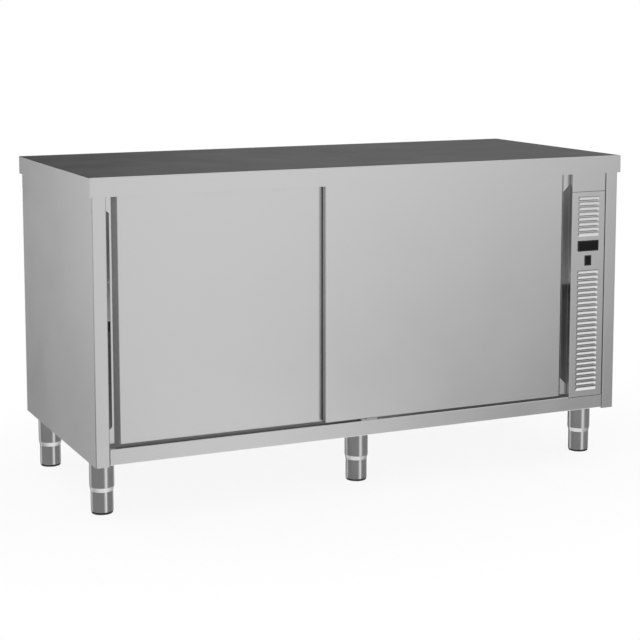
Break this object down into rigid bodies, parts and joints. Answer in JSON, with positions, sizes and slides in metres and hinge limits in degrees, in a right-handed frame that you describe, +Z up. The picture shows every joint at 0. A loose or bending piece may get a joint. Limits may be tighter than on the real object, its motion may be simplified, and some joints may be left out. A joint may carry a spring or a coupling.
{
  "type": "plate warmer cabinet",
  "caption": "Long heated stainless cupboard on round adjustable legs, with a flat worktop, two hanging sliding doors and a louvred control column at the right.",
  "frame": {"origin": "on the floor, under the middle of the worktop", "axes": "+X along the worktop to the control column, +Y to the back (the doors face -Y), +Z up"},
  "size_m": [1.6, 0.7, 0.9],
  "materials": {
    "satin_steel": "satin",
    "inner_steel": "mill finish",
    "leg_steel": "polished",
    "zinc_plated_steel": "zinc plated",
    "heater_tube": "heat-tinted",
    "painted_motor": "matte",
    "black_rubber": "matte",
    "black_plastic": "fine grain",
    "rocker_plastic": "semi-gloss",
    "display_window": "gloss",
    "nylon": "moulded",
    "board": "raw chipboard",
    "insulation": "mineral wool"
  },
  "bodies": {
    "cabinet": {"worktop": "satin_steel", "worktop_board": "board", "door_track": "inner_steel", "side_panel_left": "satin_steel", "side_panel_right": "satin_steel", "back_panel": "satin_steel", "base_panel": "inner_steel", "front_rail": "satin_steel", "column_wall": "inner_steel", "chamber_wall_left": "inner_steel", "chamber_wall_back": "inner_steel", "chamber_floor": "inner_steel", "chamber_ceiling": "inner_steel", "middle_shelf": "inner_steel", "shelf_supports": "zinc_plated_steel", "column_blank": "satin_steel", "louvred_cover": "satin_steel", "thermostat": "black_plastic", "thermostat_window": "display_window", "switch_housing": "black_plastic", "heater_ring": "heater_tube", "fan_motor": "painted_motor", "blower_casing": "inner_steel", "temperature_probe": "zinc_plated_steel", "terminal_block": "nylon", "cable_gland": "black_plastic", "door_guide": "nylon", "leg_front_left": "leg_steel", "leg_front_middle": "leg_steel", "leg_front_right": "leg_steel", "leg_rear_left": "leg_steel", "leg_rear_middle": "leg_steel", "leg_rear_right": "leg_steel", "leg_screws": "zinc_plated_steel"},
    "door_left": {"door_left_skin": "satin_steel", "door_left_liner": "inner_steel", "door_left_core": "insulation", "door_left_hangers": "zinc_plated_steel"},
    "wheel_left_a": {"door_left_wheel_a": "nylon"},
    "wheel_left_b": {"door_left_wheel_b": "nylon"},
    "door_right": {"door_right_skin": "satin_steel", "door_right_liner": "inner_steel", "door_right_core": "insulation", "door_right_hangers": "zinc_plated_steel"},
    "wheel_right_a": {"door_right_wheel_a": "nylon"},
    "wheel_right_b": {"door_right_wheel_b": "nylon"},
    "foot_front_left": {"foot_front_left": "leg_steel", "pad_front_left": "black_rubber"},
    "foot_front_middle": {"foot_front_middle": "leg_steel", "pad_front_middle": "black_rubber"},
    "foot_front_right": {"foot_front_right": "leg_steel", "pad_front_right": "black_rubber"},
    "foot_rear_left": {"foot_rear_left": "leg_steel", "pad_rear_left": "black_rubber"},
    "foot_rear_middle": {"foot_rear_middle": "leg_steel", "pad_rear_middle": "black_rubber"},
    "foot_rear_right": {"foot_rear_right": "leg_steel", "pad_rear_right": "black_rubber"},
    "rocker": {"switch_rocker": "rocker_plastic"},
    "impeller": {"fan_impeller": "inner_steel"}
  },
  "joints": [
    {"name": "door_left_slide", "type": "slide", "parent": "cabinet", "child": "door_left", "axis": [1, 0, 0], "range_m": [0, 0.6]},
    {"name": "wheel_left_a_roll", "type": "hinge", "parent": "door_left", "child": "wheel_left_a", "pos_m": [-0.643, -0.316, 0.8818], "axis": [0, 1, 0], "continuous": true},
    {"name": "wheel_left_b_roll", "type": "hinge", "parent": "door_left", "child": "wheel_left_b", "pos_m": [-0.082, -0.316, 0.8818], "axis": [0, 1, 0], "continuous": true},
    {"name": "door_right_slide", "type": "slide", "parent": "cabinet", "child": "door_right", "axis": [-1, 0, 0], "range_m": [0, 0.6]},
    {"name": "wheel_right_a_roll", "type": "hinge", "parent": "door_right", "child": "wheel_right_a", "pos_m": [-0.034, -0.336, 0.8818], "axis": [0, -1, 0], "continuous": true},
    {"name": "wheel_right_b_roll", "type": "hinge", "parent": "door_right", "child": "wheel_right_b", "pos_m": [0.527, -0.336, 0.8818], "axis": [0, -1, 0], "continuous": true},
    {"name": "foot_front_left_level", "type": "slide", "parent": "cabinet", "child": "foot_front_left", "axis": [0, 0, -1], "range_m": [0, 0.025]},
    {"name": "foot_front_middle_level", "type": "slide", "parent": "cabinet", "child": "foot_front_middle", "axis": [0, 0, -1], "range_m": [0, 0.025]},
    {"name": "foot_front_right_level", "type": "slide", "parent": "cabinet", "child": "foot_front_right", "axis": [0, 0, -1], "range_m": [0, 0.025]},
    {"name": "foot_rear_left_level", "type": "slide", "parent": "cabinet", "child": "foot_rear_left", "axis": [0, 0, -1], "range_m": [0, 0.025]},
    {"name": "foot_rear_middle_level", "type": "slide", "parent": "cabinet", "child": "foot_rear_middle", "axis": [0, 0, -1], "range_m": [0, 0.025]},
    {"name": "foot_rear_right_level", "type": "slide", "parent": "cabinet", "child": "foot_rear_right", "axis": [0, 0, -1], "range_m": [0, 0.025]},
    {"name": "rocker_press", "type": "hinge", "parent": "cabinet", "child": "rocker", "pos_m": [0.697, -0.342, 0.5958], "axis": [1, 0, 0], "range_deg": [-14, 0]},
    {"name": "impeller_spin", "type": "hinge", "parent": "cabinet", "child": "impeller", "pos_m": [0.6722, 0.06, 0.495], "axis": [1, 0, 0], "continuous": true}
  ],
  "couplings": [
    {"joint": "wheel_left_a_roll", "follows": "door_left_slide", "rad_per_m": 105.26},
    {"joint": "wheel_left_b_roll", "follows": "door_left_slide", "rad_per_m": 105.26},
    {"joint": "wheel_right_a_roll", "follows": "door_right_slide", "rad_per_m": 105.26},
    {"joint": "wheel_right_b_roll", "follows": "door_right_slide", "rad_per_m": 105.26}
  ]
}
